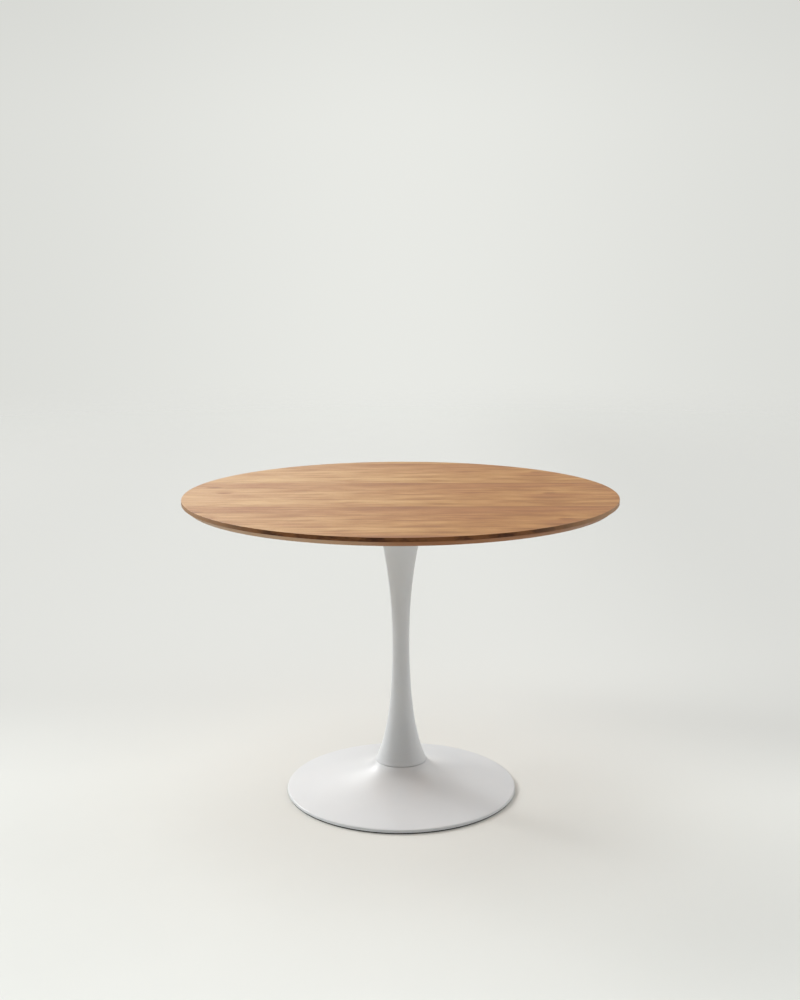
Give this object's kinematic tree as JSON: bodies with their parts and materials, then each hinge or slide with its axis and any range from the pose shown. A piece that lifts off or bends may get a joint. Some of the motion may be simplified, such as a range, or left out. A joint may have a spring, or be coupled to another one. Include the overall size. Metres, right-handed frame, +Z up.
{
  "type": "round pedestal table",
  "caption": "Round dining table: a wooden top, bevelled underneath, on a white trumpet-shaped metal column and a flared, ballasted round metal base.",
  "frame": {"origin": "on the floor at the column's axis", "axes": "+Z up along the column; the top's grain runs along X, and +X is to the right and -Y towards the viewer in the pictured view"},
  "size_m": [1.067, 1.067, 0.762],
  "materials": {
    "oak_board": "straight-grained oak veneer in planks, satin lacquer",
    "white_powder_coat": "fine matt white powder coat on steel",
    "zinc_steel": "bright zinc plate",
    "brass": "plain turned brass",
    "cast_iron": "rough casting, black primer",
    "black_rubber": "matt extruded rubber"
  },
  "bodies": {
    "root": {"table_top": "oak_board", "threaded_insert_1": "brass", "threaded_insert_2": "brass", "threaded_insert_3": "brass", "threaded_insert_4": "brass", "threaded_insert_5": "brass", "threaded_insert_6": "brass", "threaded_insert_7": "brass", "threaded_insert_8": "brass", "support_plate": "white_powder_coat", "top_screw_1": "zinc_steel", "top_screw_2": "zinc_steel", "top_screw_3": "zinc_steel", "top_screw_4": "zinc_steel", "top_screw_5": "zinc_steel", "top_screw_6": "zinc_steel", "top_screw_7": "zinc_steel", "top_screw_8": "zinc_steel", "head_bolt_1": "zinc_steel", "head_bolt_2": "zinc_steel", "head_bolt_3": "zinc_steel", "head_bolt_4": "zinc_steel", "column_shell": "white_powder_coat", "column_head_flange": "zinc_steel", "column_foot_flange": "zinc_steel", "base_shell": "white_powder_coat", "neck_clamp_plate": "zinc_steel", "foot_washer_1": "zinc_steel", "foot_washer_2": "zinc_steel", "foot_washer_3": "zinc_steel", "foot_washer_4": "zinc_steel", "foot_bolt_1": "zinc_steel", "foot_bolt_2": "zinc_steel", "foot_bolt_3": "zinc_steel", "foot_bolt_4": "zinc_steel", "ballast_ring": "cast_iron", "ballast_stud_1": "zinc_steel", "ballast_stud_2": "zinc_steel", "ballast_stud_3": "zinc_steel", "ballast_stud_4": "zinc_steel", "ballast_washer_1": "zinc_steel", "ballast_washer_2": "zinc_steel", "ballast_washer_3": "zinc_steel", "ballast_washer_4": "zinc_steel", "ballast_nut_1": "zinc_steel", "ballast_nut_2": "zinc_steel", "ballast_nut_3": "zinc_steel", "ballast_nut_4": "zinc_steel", "floor_ring": "black_rubber"}
  },
  "joints": []
}
